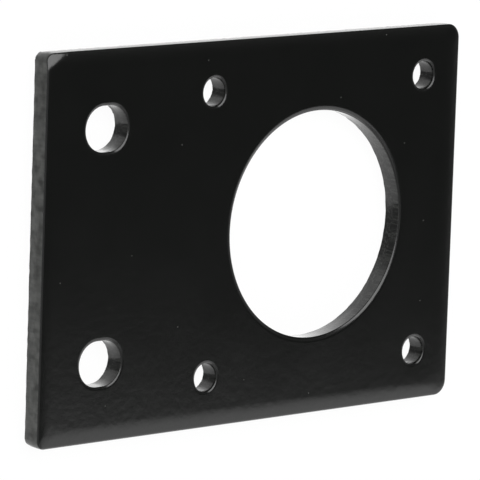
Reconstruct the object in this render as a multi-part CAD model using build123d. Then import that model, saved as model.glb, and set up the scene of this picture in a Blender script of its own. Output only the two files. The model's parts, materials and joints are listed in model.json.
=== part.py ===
from build123d import *
import os

# Motor mounting bracket: one flat blanked steel plate with a painted finish, in millimetres.
#
# The origin is on the bore's axis at the back face, the one the plate lies on. +X runs along the
# plate towards its bored end, +Y across it and +Z out of the front face. The punches entered the
# front face, so the front face has the rounded edges.

# Plate
plate_length = 90.8
plate_height = 63.8
plate_thickness = 3.5
bored_end_corner_radius = 2.5
slotted_end_corner_radius = 1.5

# Motor interface: a bore for the motor's pilot, and a square of four bolt holes about it
bore_diameter = 38.1
bore_axis_to_bored_end = 31.75
motor_hole_spacing = 47.14
motor_hole_diameter = 4.8

# Frame interface: two short slots that run along the plate, one above the other
slot_length = 8.8
slot_width = 7.5
slot_spacing = 38.1
slots_to_slotted_end = 12.7

# Rounding that blanking and punching leave on every edge of the front face
die_roll_radius = 0.35

bored_end_x = bore_axis_to_bored_end
slotted_end_x = bored_end_x - plate_length
slots_x = slotted_end_x + slots_to_slotted_end

# The narrowest wall beside an opening, which the rounding on both its sides must leave standing
narrowest_wall = min(
    min(bored_end_x, plate_height / 2) - (motor_hole_spacing + motor_hole_diameter) / 2,
    min(bored_end_x, plate_height / 2) - bore_diameter / 2,
    plate_height / 2 - (slot_spacing + slot_width) / 2,
    slots_to_slotted_end - slot_length / 2,
)


def blank():
    """The plate's outline: a rectangle with a corner radius of its own at each end."""
    with BuildSketch() as outline:
        with Locations(((bored_end_x + slotted_end_x) / 2, 0)):
            Rectangle(plate_length, plate_height)
        fillet(outline.vertices().group_by(Axis.X)[-1], bored_end_corner_radius)
        fillet(outline.vertices().group_by(Axis.X)[0], slotted_end_corner_radius)
    return outline.sketch


def motor_openings():
    """The bore and the four motor bolt holes."""
    with BuildSketch() as openings:
        Circle(bore_diameter / 2)
        with GridLocations(motor_hole_spacing, motor_hole_spacing, 2, 2):
            Circle(motor_hole_diameter / 2)
    return openings.sketch


def frame_slots():
    """The two slots for the bolts that hold the bracket to its frame."""
    with BuildSketch() as slots:
        with Locations((slots_x, 0)):
            with GridLocations(0, slot_spacing, 1, 2):
                SlotOverall(slot_length, slot_width)
    return slots.sketch


def mounting_plate():
    """The punched plate, with the die roll on its outline and round each opening."""
    flat = blank() - motor_openings() - frame_slots()
    plate = extrude(flat, amount=plate_thickness)
    front_face = plate.faces().sort_by(Axis.Z)[-1]
    return fillet(front_face.edges(), min(die_roll_radius, 0.4 * narrowest_wall))


os.makedirs("parts", exist_ok=True)
export_step(mounting_plate(), "parts/mounting_plate.step")
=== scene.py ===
import bmesh
import bpy
import json
import math
from mathutils import Matrix, Vector


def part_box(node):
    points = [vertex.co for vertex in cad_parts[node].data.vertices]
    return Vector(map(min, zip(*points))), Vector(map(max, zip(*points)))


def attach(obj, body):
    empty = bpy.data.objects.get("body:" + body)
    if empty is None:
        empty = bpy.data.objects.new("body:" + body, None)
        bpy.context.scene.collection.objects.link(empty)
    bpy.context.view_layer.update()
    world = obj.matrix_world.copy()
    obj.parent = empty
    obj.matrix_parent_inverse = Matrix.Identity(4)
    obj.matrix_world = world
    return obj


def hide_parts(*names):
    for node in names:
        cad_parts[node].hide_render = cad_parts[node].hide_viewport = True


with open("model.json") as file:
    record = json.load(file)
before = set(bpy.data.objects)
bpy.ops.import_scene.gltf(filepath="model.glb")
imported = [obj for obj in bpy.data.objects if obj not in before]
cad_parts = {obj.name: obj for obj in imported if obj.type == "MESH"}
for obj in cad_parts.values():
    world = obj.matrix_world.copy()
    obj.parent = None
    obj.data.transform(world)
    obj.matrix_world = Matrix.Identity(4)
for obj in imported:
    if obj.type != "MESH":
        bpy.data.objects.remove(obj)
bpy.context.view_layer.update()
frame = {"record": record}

# Motor mounting bracket: one steel plate, blanked and punched from its front face and painted
# black. The solid gives its sizes and places. This script gives the plate the edges that a press
# leaves: a soft roll where the tool went in, a smooth cut below it, and a torn, slightly wider
# cut down to the back face.

MM = 0.001

# Places nearer to each other than this count as the same
TOLERANCE = 0.01 * MM
FINE_TOLERANCE = 0.001 * MM

plate_low, plate_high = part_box("mounting_plate")
front = plate_high.z
back = plate_low.z
mounts = {mount["name"]: mount for mount in frame["record"]["mounts"]}
bore = mounts["motor_bore"]
bolts = mounts["motor_bolts"]
slots = mounts["frame_slots"]

# Outline
BORED_END_CORNER = 2.5 * MM
SLOTTED_END_CORNER = 1.5 * MM
CORNER_STEPS = 14
SIDE_STEP = 0.9 * MM

# Pressed edge of the outline, from the face down: the face sags towards the edge, rolls over,
# runs straight down and tears away inwards
SAG_WIDTH = 2.6 * MM
SAG_DEPTH = 0.09 * MM
SAG_CORNER = 1.2 * MM
SAG_STEPS = 8
ROLL_WIDTH = 0.45 * MM
ROLL_DEPTH = 0.24 * MM
ROLL_STEPS = 6
SMOOTH_CUT_SHARE = 0.38
TEAR = 0.2 * MM
TEAR_STEPS = 5
TEAR_CURVE = 1.4

# One corner, at the slotted end, is bent down a little, along lines that cut it off: how far the
# furthest line reaches along X and along Y, the lines as shares of that, and the bend at each
BEND_ALONG_X = 4.6 * MM
BEND_ALONG_Y = 3.1 * MM
BEND_LINES = (1.0, 0.86, 0.72)
BEND_ANGLE = math.radians(4)

# Pressed edge of the openings
BORE_ROLL = (0.95 * MM, 0.32 * MM)
BOLT_HOLE_ROLL = (0.5 * MM, 0.2 * MM)
SLOT_ROLL = (0.6 * MM, 0.2 * MM)
OPENING_TEAR = 0.14 * MM
BORE_SIDES = 160
BOLT_HOLE_SIDES = 48
SLOT_SIDES = 64

# The torn part of every cut: where it starts, how uneven it is, and up to which share of it
TORN_HEIGHT = front - (front - back) * SMOOTH_CUT_SHARE
RAGGED = 0.05 * MM
RAGGED_SHARE = 0.45

# A face counts as part of a cut if its normal rises less than this, and as part of the outline's
# cut if it lies this near to the plate's edge
CUT_NORMAL_RISE = 0.5
OUTLINE_REACH = 1.0 * MM

# Faces that meet at a smaller angle than this are shaded as one surface
SMOOTH_ANGLE = math.radians(40)

# Camera, from the photograph's perspective
CAMERA_PLACE = Vector((-0.56617, 0.1283, 0.60688))
CAMERA_AIM = Vector((-0.01701, -0.00127, 0.0035))
CAMERA_ROLL = math.radians(1.94)
CAMERA_LENS = 378.17

FLOOR_SIZE = 6

# What the shine mirrors below the horizon: a bright sweep, with a dark side that lies between two
# upright planes through the plate, a sharp one and a soft one. The sweep is brightest straight
# across from the camera. Above the horizon is a dim room.
SHARP_PLANE = (-0.391, 0.921, 0)
SOFT_PLANE = (-0.656, -0.755, 0)
ACROSS = (0.973, 0.23, 0)
DARK_SIDE_GLOW = 0.27
ROOM_GLOW = 0.045

# Lamps: name, place, the point that it faces, the direction of its width, width, height, radiance
LAMPS = (
    ("overhead", (0, 0.53, 0.85), (0, 0.53, 0), (1, 0, 0), 1.0, 0.96, 4.2),
    ("low_card", (0.765, -0.6, 0.371), (0.215, 0, -0.209), (0.718, 0, -0.696), 1.0, 0.845, 1.42),
    ("front_card", (0, -1.1, 0.56), (0, 0, 0.56), (1, 0, 0), 2.2, 1.12, 1.0),
    ("right_card", (1.2, -0.15, 0.5), (0, -0.15, 0.5), (0, 1, 0), 0.8, 0.85, 0.35),
    ("ceiling_card", (-0.3, -0.45, 1.0), (-0.3, -0.45, 0), (1, 0, 0), 1.2, 1.0, 0.45),
    ("side_card", (0.42, -0.55, 1.0), (0.42, -0.55, 0), (1, 0, 0), 0.24, 0.46, 0.95),
    ("top_card", (0.8, 0.35, 0.85), (0.8, 0.35, 0), (1, 0, 0), 0.5, 0.7, 0.15),
    ("left_card", (-1.0, -0.1, 0.62), (0, -0.1, 0.62), (0, 1, 0), 1.6, 1.24, 0.9),
)


def deselect_all():
    for thing in bpy.context.selected_objects:
        thing.select_set(False)


def select_vertices(wanted):
    """Selects the vertices of the mesh in edit mode whose place passes wanted, and no others."""
    bpy.ops.mesh.select_mode(type="VERT")
    bpy.ops.mesh.select_all(action="DESELECT")
    mesh = bmesh.from_edit_mesh(bpy.context.object.data)
    for vertex in mesh.verts:
        vertex.select_set(not vertex.hide and wanted(vertex.co))
    mesh.select_flush_mode()
    bmesh.update_edit_mesh(bpy.context.object.data)


def select_open_edges(height):
    """Selects the open edges that lie at one height."""
    bpy.ops.mesh.select_mode(type="EDGE")
    bpy.ops.mesh.select_all(action="DESELECT")
    mesh = bmesh.from_edit_mesh(bpy.context.object.data)
    for edge in mesh.edges:
        level = all(abs(vertex.co.z - height) < FINE_TOLERANCE for vertex in edge.verts)
        edge.select_set(level and edge.is_boundary)
    mesh.select_flush_mode()
    bmesh.update_edit_mesh(bpy.context.object.data)


def select_long_edges(across):
    """Selects the edges that run along one axis for more than half of the plate."""
    half = (plate_high - plate_low)[across] / 2
    bpy.ops.mesh.select_mode(type="EDGE")
    bpy.ops.mesh.select_all(action="DESELECT")
    mesh = bmesh.from_edit_mesh(bpy.context.object.data)
    for edge in mesh.edges:
        start, end = edge.verts
        edge.select_set(abs(start.co[across] - end.co[across]) > half)
    mesh.select_flush_mode()
    bmesh.update_edit_mesh(bpy.context.object.data)


def outline_ring(inset, corner_growth, height):
    """One closed ring of edges: the outline, moved in by inset, at a height."""
    low_x, high_x = plate_low.x + inset, plate_high.x - inset
    low_y, high_y = plate_low.y + inset, plate_high.y - inset
    middle = ((low_x + high_x) / 2, (low_y + high_y) / 2, height)
    deselect_all()
    bpy.ops.mesh.primitive_plane_add(size=1, location=middle)
    ring = bpy.context.object
    ring.scale = (high_x - low_x, high_y - low_y, 1)
    bpy.ops.object.transform_apply(location=True, rotation=True, scale=True)
    bpy.ops.object.mode_set(mode="EDIT")
    bored_radius = BORED_END_CORNER - inset + corner_growth
    slotted_radius = SLOTTED_END_CORNER - inset + corner_growth
    select_vertices(lambda place: abs(place.x - high_x) < TOLERANCE)
    bpy.ops.mesh.bevel(offset=bored_radius, segments=CORNER_STEPS, affect="VERTICES")
    select_vertices(lambda place: abs(place.x - low_x) < TOLERANCE)
    bpy.ops.mesh.bevel(offset=slotted_radius, segments=CORNER_STEPS, affect="VERTICES")
    bpy.ops.mesh.select_all(action="SELECT")
    bpy.ops.mesh.delete(type="ONLY_FACE")
    for across in (0, 1):
        select_long_edges(across)
        length = (plate_high - plate_low)[across]
        bpy.ops.mesh.subdivide(number_cuts=round(length / SIDE_STEP))
    bpy.ops.object.mode_set(mode="OBJECT")
    return ring


def outline_levels():
    """(inset, corner growth, height) of each ring, from the back face up over the edge."""
    levels = []
    for step in range(TEAR_STEPS):
        share = step / TEAR_STEPS
        levels.append((TEAR * (1 - share) ** TEAR_CURVE, 0, back + (TORN_HEIGHT - back) * share))
    levels.append((0, 0, TORN_HEIGHT))
    roll_bottom = front - SAG_DEPTH - ROLL_DEPTH
    for step in range(ROLL_STEPS + 1):
        angle = math.pi / 2 * step / ROLL_STEPS
        inset = ROLL_WIDTH * (1 - math.cos(angle))
        levels.append((inset, 0, roll_bottom + ROLL_DEPTH * math.sin(angle)))
    for step in range(1, SAG_STEPS + 1):
        share = step / SAG_STEPS
        inset = ROLL_WIDTH + SAG_WIDTH * share
        growth = (SAG_CORNER + SAG_WIDTH) * share
        levels.append((inset, growth, front - SAG_DEPTH * (1 - share) ** 2))
    return levels


def outline_edge():
    """The plate's whole rim, from the back face's border to the flat of the front face."""
    rings = [outline_ring(*level) for level in outline_levels()]
    deselect_all()
    for ring in rings:
        ring.select_set(True)
    bpy.context.view_layer.objects.active = rings[0]
    bpy.ops.object.join()
    bpy.ops.object.mode_set(mode="EDIT")
    bpy.ops.mesh.select_all(action="SELECT")
    bpy.ops.mesh.bridge_edge_loops()
    bpy.ops.object.mode_set(mode="OBJECT")
    bend_corner(rings[0])
    return rings[0]


def turn_about_z(piece, angle):
    piece.rotation_euler.z = angle
    bpy.ops.object.transform_apply(location=False, rotation=True, scale=False)


def bend_corner(rim):
    """Bends the rim's corner down. The rim is turned for it, so that the bend lies along X."""
    outward = Vector((-1 / BEND_ALONG_X, 1 / BEND_ALONG_Y))
    turn = math.pi / 2 - math.atan2(outward.y, outward.x)
    turning = Matrix.Rotation(turn, 2)
    corner = Vector((plate_low.x, plate_high.y))
    tip = turning @ corner
    cut_top = front - SAG_DEPTH - ROLL_DEPTH
    round_tip = 1.5 * BEND_ALONG_X
    beside_tip = 2 * BEND_ALONG_X
    turn_about_z(rim, turn)
    bpy.ops.object.mode_set(mode="EDIT")
    select_vertices(lambda place: place.z < cut_top - TOLERANCE)
    bpy.ops.mesh.hide(unselected=False)
    for share in BEND_LINES:
        line = turning @ (corner + Vector((BEND_ALONG_X * share, 0)))
        select_vertices(lambda place: (place.xy - tip).length < round_tip)
        bpy.ops.mesh.bisect(plane_co=(*line, 0), plane_no=(0, 1, 0))
    for share in BEND_LINES:
        line = turning @ (corner + Vector((BEND_ALONG_X * share, 0)))
        start = line.y + FINE_TOLERANCE
        select_vertices(lambda place: place.y > start and abs(place.x - tip.x) < beside_tip)
        bpy.ops.transform.rotate(
            value=BEND_ANGLE, orient_axis="X", center_override=(line.x, line.y, front)
        )
    bpy.ops.mesh.reveal()
    bpy.ops.object.mode_set(mode="OBJECT")
    turn_about_z(rim, -turn)


def tear_edges():
    """Makes the torn part of every cut uneven, and keeps the back face flat."""
    select_vertices(lambda place: place.z < back + (TORN_HEIGHT - back) * RAGGED_SHARE)
    bpy.ops.transform.vertex_random(offset=RAGGED, uniform=0.6, normal=0, seed=4)
    select_vertices(lambda place: place.z < back + 2 * RAGGED)
    bpy.ops.transform.resize(value=(1, 1, 0), center_override=(0, 0, back))


def opening_levels(roll):
    """(distance out of the smooth cut, height) of each ring of an opening, from the front down."""
    roll_width, roll_depth = roll
    levels = []
    for step in range(ROLL_STEPS + 1):
        angle = math.pi / 2 * step / ROLL_STEPS
        out = roll_width * (1 - math.sin(angle))
        levels.append((out, front - roll_depth * (1 - math.cos(angle))))
    levels.append((0, TORN_HEIGHT))
    for step in range(1, TEAR_STEPS + 1):
        share = step / TEAR_STEPS
        out = OPENING_TEAR * share ** TEAR_CURVE
        levels.append((out, TORN_HEIGHT + (back - TORN_HEIGHT) * share))
    return levels


def punched_opening(x, y, radius, straight, roll, sides):
    """The wall of one opening. A slot is a round one with its halves moved apart along X."""
    levels = opening_levels(roll)
    first_out, height = levels[0]
    deselect_all()
    bpy.ops.mesh.primitive_circle_add(
        vertices=sides,
        radius=radius + first_out,
        location=(x, y, height),
        rotation=(0, 0, math.pi / sides),
    )
    wall = bpy.context.object
    bpy.ops.object.transform_apply(location=True, rotation=True, scale=True)
    bpy.ops.object.mode_set(mode="EDIT")
    bpy.ops.mesh.select_all(action="SELECT")
    last_out = first_out
    for out, next_height in levels[1:]:
        bpy.ops.mesh.extrude_edges_move(
            TRANSFORM_OT_translate={"value": (0, 0, next_height - height)}
        )
        growth = (radius + out) / (radius + last_out)
        bpy.ops.transform.resize(value=(growth, growth, 1), center_override=(x, y, 0))
        last_out, height = out, next_height
    if straight:
        select_vertices(lambda place: place.x > x)
        bpy.ops.transform.translate(value=(straight / 2, 0, 0))
        select_vertices(lambda place: place.x < x)
        bpy.ops.transform.translate(value=(-straight / 2, 0, 0))
    bpy.ops.object.mode_set(mode="OBJECT")
    return wall


def openings():
    """The bore, the square of bolt holes about it and the two frame slots."""
    made = []
    x, y = bore["pos_m"][:2]
    bore_radius = bore["dims"]["r_mm"] * MM
    made.append(punched_opening(x, y, bore_radius, 0, BORE_ROLL, BORE_SIDES))
    bolt_radius = bolts["dims"]["hole_r_mm"] * MM
    across_x = bolts["dims"]["spacing_x_mm"] * MM / 2
    across_y = bolts["dims"]["spacing_y_mm"] * MM / 2
    for side_x in (-across_x, across_x):
        for side_y in (-across_y, across_y):
            x, y = bolts["pos_m"][0] + side_x, bolts["pos_m"][1] + side_y
            made.append(punched_opening(x, y, bolt_radius, 0, BOLT_HOLE_ROLL, BOLT_HOLE_SIDES))
    slot_radius = slots["dims"]["hole_r_mm"] * MM
    straight = slots["dims"]["slot_length_mm"] * MM - 2 * slot_radius
    across = slots["dims"]["spacing_y_mm"] * MM / 2
    for side_y in (-across, across):
        x, y = slots["pos_m"][0], slots["pos_m"][1] + side_y
        made.append(punched_opening(x, y, slot_radius, straight, SLOT_ROLL, SLOT_SIDES))
    return made


def punched_plate():
    """The rim and the openings joined by the flats of the front and back faces."""
    plate = outline_edge()
    walls = openings()
    deselect_all()
    for wall in walls:
        wall.select_set(True)
    plate.select_set(True)
    bpy.context.view_layer.objects.active = plate
    bpy.ops.object.join()
    bpy.ops.object.mode_set(mode="EDIT")
    tear_edges()
    for height in (front, back):
        select_open_edges(height)
        bpy.ops.mesh.fill()
    bpy.ops.mesh.select_all(action="SELECT")
    bpy.ops.mesh.normals_make_consistent(inside=False)
    bpy.ops.object.mode_set(mode="OBJECT")
    bpy.ops.object.shade_smooth_by_angle(angle=SMOOTH_ANGLE)
    bpy.ops.object.modifier_add(type="WEIGHTED_NORMAL")
    plate.modifiers[-1].keep_sharp = True
    plate.modifiers[-1].weight = 100
    bpy.ops.object.modifier_apply(modifier=plate.modifiers[-1].name)
    plate.name = "punched_plate"
    plate.data.name = "punched_plate"
    return plate


def linear(hex_colour):
    """A #rrggbb colour as the linear red, green, blue and alpha that a socket takes."""
    channels = []
    for place in (1, 3, 5):
        value = int(hex_colour[place:place + 2], 16) / 255
        channels.append(value / 12.92 if value <= 0.04045 else ((value + 0.055) / 1.055) ** 2.4)
    return (*channels, 1)


def node(tree, kind, settings=None, links=None):
    """Adds one node. Settings holds its own properties, and values for its sockets by name or
    number. Links joins its inputs to (node, output) pairs."""
    made = tree.nodes.new(kind)
    for name, value in (settings or {}).items():
        if isinstance(name, str) and hasattr(made, name):
            setattr(made, name, value)
        else:
            made.inputs[name].default_value = value
    for name, (source, output) in (links or {}).items():
        tree.links.new(source.outputs[output], made.inputs[name])
    return made


def new_material(name):
    material = bpy.data.materials.new(name)
    material.use_nodes = True
    material.node_tree.nodes.clear()
    return material


def semi_gloss_enamel():
    """Semi-gloss black enamel, sprayed on flat steel sheet and baked: near black with a clear
    shine, a faint orange peel that breaks the shine up, and a few light nicks from handling."""
    material = new_material("semi_gloss_black_enamel")
    tree = material.node_tree
    place = node(tree, "ShaderNodeTexCoord")
    peel = node(
        tree,
        "ShaderNodeTexNoise",
        {"Scale": 1 / (1.3 * MM), "Detail": 2.0},
        {"Vector": (place, "Object")},
    )
    haze = node(
        tree,
        "ShaderNodeTexNoise",
        {"Scale": 1 / (7 * MM), "Detail": 3.0},
        {"Vector": (place, "Object")},
    )
    polish = node(
        tree,
        "ShaderNodeMapRange",
        {"From Min": 0.3, "From Max": 0.7, "To Min": 0.155, "To Max": 0.17},
        {"Value": (haze, 0)},
    )
    # Nicks, 0.2 mm across: one in every 5 mm each way, of which one in ten is kept
    nicks = node(
        tree,
        "ShaderNodeTexVoronoi",
        {"voronoi_dimensions": "2D", "Scale": 1 / (5 * MM)},
        {"Vector": (place, "Object")},
    )
    small = node(
        tree,
        "ShaderNodeMath",
        {"operation": "LESS_THAN", 1: 0.02},
        {0: (nicks, "Distance")},
    )
    chance = node(tree, "ShaderNodeSeparateColor", links={0: (nicks, "Color")})
    few = node(tree, "ShaderNodeMath", {"operation": "GREATER_THAN", 1: 0.9}, {0: (chance, 0)})
    nick = node(tree, "ShaderNodeMath", {"operation": "MULTIPLY"}, {0: (small, 0), 1: (few, 0)})
    colour = node(
        tree,
        "ShaderNodeMix",
        {"data_type": "RGBA", 6: linear("#090a09"), 7: linear("#4c4d4a")},
        {0: (nick, 0)},
    )
    surface = node(
        tree,
        "ShaderNodeBump",
        {"Strength": 1.0, "Distance": 0.01 * MM},
        {"Height": (peel, 0)},
    )
    shader = node(
        tree,
        "ShaderNodeBsdfPrincipled",
        links={"Base Color": (colour, 2), "Roughness": (polish, 0), "Normal": (surface, 0)},
    )
    node(tree, "ShaderNodeOutputMaterial", links={"Surface": (shader, "BSDF")})
    return material


def cut_streaks(tree, place):
    """Scoring that the punch leaves through the thickness. The real scores lie about 0.1 mm
    apart, and are drawn 0.45 mm apart, so that they show."""
    drawn_out = node(
        tree,
        "ShaderNodeMapping",
        {"Scale": (1, 1, 0.06)},
        {"Vector": (place, "Object")},
    )
    return node(
        tree,
        "ShaderNodeTexNoise",
        {"Scale": 1 / (0.45 * MM), "Detail": 3.0},
        {"Vector": (drawn_out, 0)},
    )


def enamel_on_punched_wall():
    """The same enamel in the openings, where the punch burnished the steel before it tore:
    smooth and shiny with fine scoring above, duller and grainy towards the back."""
    material = new_material("black_enamel_on_punched_wall")
    tree = material.node_tree
    place = node(tree, "ShaderNodeTexCoord")
    axes = node(tree, "ShaderNodeSeparateXYZ", links={0: (place, "Object")})
    streaks = cut_streaks(tree, place)
    grain = node(
        tree,
        "ShaderNodeTexNoise",
        {"Scale": 1 / (0.5 * MM), "Detail": 3.0},
        {"Vector": (place, "Object")},
    )
    # The line where the tear starts wanders up and down by up to 0.45 mm with the grain
    wander = node(
        tree,
        "ShaderNodeMath",
        {"operation": "MULTIPLY_ADD", 1: 0.9 * MM, 2: -0.45 * MM},
        {0: (grain, 0)},
    )
    height = node(tree, "ShaderNodeMath", {"operation": "ADD"}, {0: (axes, "Z"), 1: (wander, 0)})
    torn = node(
        tree,
        "ShaderNodeMapRange",
        {"From Min": TORN_HEIGHT, "From Max": TORN_HEIGHT - 0.4 * MM},
        {"Value": (height, 0)},
    )
    polish = node(
        tree,
        "ShaderNodeMapRange",
        {"To Min": 0.13, "To Max": 0.2},
        {"Value": (torn, 0)},
    )
    relief = node(
        tree,
        "ShaderNodeMix",
        {"data_type": "FLOAT"},
        {0: (torn, 0), 2: (streaks, 0), 3: (grain, 0)},
    )
    thinness = node(
        tree,
        "ShaderNodeMapRange",
        {"From Min": 0.42, "From Max": 0.66},
        {"Value": (relief, 0)},
    )
    colour = node(
        tree,
        "ShaderNodeMix",
        {"data_type": "RGBA", 6: linear("#0c0d0c"), 7: linear("#2d2e2c")},
        {0: (thinness, 0)},
    )
    surface = node(
        tree,
        "ShaderNodeBump",
        {"Strength": 1.0, "Distance": 0.018 * MM},
        {"Height": (relief, 0)},
    )
    shader = node(
        tree,
        "ShaderNodeBsdfPrincipled",
        links={"Base Color": (colour, 2), "Roughness": (polish, 0), "Normal": (surface, 0)},
    )
    node(tree, "ShaderNodeOutputMaterial", links={"Surface": (shader, "BSDF")})
    return material


def enamel_and_painted_sheen_on_blanked_edge():
    """The same enamel, thin over the rough outer cut of the blank, so that it looks greyer, and
    greyer still by a painted reflection of the white sweep: dull, mottled by the tear under it,
    with short scores through the thickness."""
    material = new_material("black_enamel_and_painted_sheen_on_blanked_edge")
    tree = material.node_tree
    place = node(tree, "ShaderNodeTexCoord")
    streaks = cut_streaks(tree, place)
    blotches = node(
        tree,
        "ShaderNodeTexNoise",
        {"Scale": 1 / (1.6 * MM), "Detail": 4.0},
        {"Vector": (place, "Object")},
    )
    mottle = node(
        tree,
        "ShaderNodeMix",
        {"data_type": "FLOAT", 0: 0.25},
        {2: (blotches, 0), 3: (streaks, 0)},
    )
    thinness = node(
        tree,
        "ShaderNodeMapRange",
        {"From Min": 0.35, "From Max": 0.65},
        {"Value": (mottle, 0)},
    )
    # These greys are lighter than in the openings: partly thin enamel, partly a painted reflection
    # of the white sweep
    colour = node(
        tree,
        "ShaderNodeMix",
        {"data_type": "RGBA", 6: linear("#252624"), 7: linear("#525351")},
        {0: (thinness, 0)},
    )
    surface = node(
        tree,
        "ShaderNodeBump",
        {"Strength": 1.0, "Distance": 0.03 * MM},
        {"Height": (mottle, 0)},
    )
    shader = node(
        tree,
        "ShaderNodeBsdfPrincipled",
        {"Roughness": 0.3},
        {"Base Color": (colour, 2), "Normal": (surface, 0)},
    )
    node(tree, "ShaderNodeOutputMaterial", links={"Surface": (shader, "BSDF")})
    return material


def pale_floor():
    """Plain white sweep, bleached for the eye to white with only a light shadow."""
    material = new_material("white_sweep")
    tree = material.node_tree
    path = node(tree, "ShaderNodeLightPath")
    matt = node(tree, "ShaderNodeBsdfDiffuse", {"Color": linear("#eeeeee")})
    bright = node(tree, "ShaderNodeEmission", {"Color": linear("#ffffff"), "Strength": 1.0})
    bleached = node(tree, "ShaderNodeMixShader", {0: 0.95}, {1: (matt, 0), 2: (bright, 0)})
    final = node(
        tree,
        "ShaderNodeMixShader",
        links={0: (path, "Is Camera Ray"), 1: (matt, 0), 2: (bleached, 0)},
    )
    node(tree, "ShaderNodeOutputMaterial", links={"Surface": (final, 0)})
    return material


def floor():
    deselect_all()
    bpy.ops.mesh.primitive_plane_add(size=FLOOR_SIZE, location=(0, 0, back))
    sweep = bpy.context.object
    sweep.name = "floor"
    sweep.data.materials.append(pale_floor())
    sweep.visible_glossy = False


def softbox(name, place, aim, along, width, height, radiance):
    """A rectangular lamp of even radiance, whose width lies along one direction."""
    lamp = bpy.data.lights.new(name, "AREA")
    lamp.shape = "RECTANGLE"
    lamp.size = width
    lamp.size_y = height
    lamp.energy = radiance * math.pi * width * height
    box = bpy.data.objects.new(name, lamp)
    bpy.context.scene.collection.objects.link(box)
    backwards = (Vector(place) - Vector(aim)).normalized()
    up = backwards.cross(Vector(along)).normalized()
    axes = Matrix((up.cross(backwards), up, backwards)).transposed()
    box.matrix_world = Matrix.Translation(Vector(place)) @ axes.to_4x4()
    box.visible_camera = False


def studio():
    """The lamps round the plate, and what its shine mirrors: a dim room over a white sweep."""
    world = bpy.data.worlds.new("studio")
    world.use_nodes = True
    bpy.context.scene.world = world
    tree = world.node_tree
    tree.nodes.clear()
    white = linear("#ffffff")
    place = node(tree, "ShaderNodeTexCoord")
    axes = node(tree, "ShaderNodeSeparateXYZ", links={0: (place, "Generated")})
    below = node(tree, "ShaderNodeMath", {"operation": "LESS_THAN", 1: 0.0}, {0: (axes, "Z")})
    off_sharp_plane = node(
        tree,
        "ShaderNodeVectorMath",
        {"operation": "DOT_PRODUCT", 1: SHARP_PLANE},
        {0: (place, "Generated")},
    )
    past_sharp_plane = node(
        tree,
        "ShaderNodeMapRange",
        {"From Min": -0.01, "From Max": 0.01},
        {"Value": (off_sharp_plane, "Value")},
    )
    off_soft_plane = node(
        tree,
        "ShaderNodeVectorMath",
        {"operation": "DOT_PRODUCT", 1: SOFT_PLANE},
        {0: (place, "Generated")},
    )
    past_soft_plane = node(
        tree,
        "ShaderNodeMapRange",
        {"From Min": -0.14, "From Max": 0.14},
        {"Value": (off_soft_plane, "Value")},
    )
    dark_side = node(
        tree,
        "ShaderNodeMath",
        {"operation": "MULTIPLY"},
        {0: (past_sharp_plane, 0), 1: (past_soft_plane, 0)},
    )
    lit = node(
        tree,
        "ShaderNodeMapRange",
        {"To Min": 1.0, "To Max": DARK_SIDE_GLOW},
        {"Value": (dark_side, 0)},
    )
    straight_across = node(
        tree,
        "ShaderNodeVectorMath",
        {"operation": "DOT_PRODUCT", 1: ACROSS},
        {0: (place, "Generated")},
    )
    brightest = node(
        tree,
        "ShaderNodeMapRange",
        {"From Min": 0.2, "From Max": 0.72, "To Max": 0.85},
        {"Value": (straight_across, "Value")},
    )
    glow = node(tree, "ShaderNodeMath", {"operation": "ADD"}, {0: (lit, 0), 1: (brightest, 0)})
    sweep = node(tree, "ShaderNodeBackground", {"Color": white}, {"Strength": (glow, 0)})
    room = node(tree, "ShaderNodeBackground", {"Color": white, "Strength": ROOM_GLOW})
    mirrored = node(
        tree,
        "ShaderNodeMixShader",
        links={0: (below, 0), 1: (room, 0), 2: (sweep, 0)},
    )
    path = node(tree, "ShaderNodeLightPath")
    horizon = node(tree, "ShaderNodeBackground", {"Color": white, "Strength": 1.0})
    final = node(
        tree,
        "ShaderNodeMixShader",
        links={0: (path, "Is Camera Ray"), 1: (mirrored, 0), 2: (horizon, 0)},
    )
    node(tree, "ShaderNodeOutputWorld", links={"Surface": (final, 0)})
    for lamp in LAMPS:
        softbox(*lamp)


def camera():
    view = bpy.data.cameras.new("photo_camera")
    view.lens = CAMERA_LENS
    view.sensor_width = 36
    view.clip_end = 10
    holder = bpy.data.objects.new("photo_camera", view)
    bpy.context.scene.collection.objects.link(holder)
    backwards = (CAMERA_PLACE - CAMERA_AIM).normalized()
    right = Vector((0, 1, 0)).cross(backwards).normalized()
    up = backwards.cross(right)
    axes = Matrix((right, up, backwards)).transposed()
    turned = axes @ Matrix.Rotation(CAMERA_ROLL, 3, "Z")
    holder.matrix_world = Matrix.Translation(CAMERA_PLACE) @ turned.to_4x4()
    bpy.context.scene.camera = holder


def paint_cut_edges(plate):
    """Gives the steep faces the finish of the cut under their paint: one for the outline, with a
    painted reflection in its grey, and one for the openings."""
    bpy.ops.object.mode_set(mode="EDIT")
    bpy.ops.mesh.select_mode(type="FACE")
    for slot, on_rim in ((1, False), (2, True)):
        bpy.ops.mesh.select_all(action="DESELECT")
        mesh = bmesh.from_edit_mesh(plate.data)
        for face in mesh.faces:
            place = face.calc_center_median()
            x_in = min(place.x - plate_low.x, plate_high.x - place.x)
            y_in = min(place.y - plate_low.y, plate_high.y - place.y)
            steep = abs(face.normal.z) < CUT_NORMAL_RISE
            face.select_set(steep and on_rim == (min(x_in, y_in) < OUTLINE_REACH))
        bmesh.update_edit_mesh(plate.data)
        plate.active_material_index = slot
        bpy.ops.object.material_slot_assign()
    bpy.ops.object.mode_set(mode="OBJECT")


def dress():
    plate = punched_plate()
    plate.data.materials.append(semi_gloss_enamel())
    plate.data.materials.append(enamel_on_punched_wall())
    plate.data.materials.append(enamel_and_painted_sheen_on_blanked_edge())
    paint_cut_edges(plate)
    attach(plate, "root")
    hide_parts("mounting_plate")


dress()
floor()
studio()
camera()
bpy.context.scene.view_settings.view_transform = "Standard"
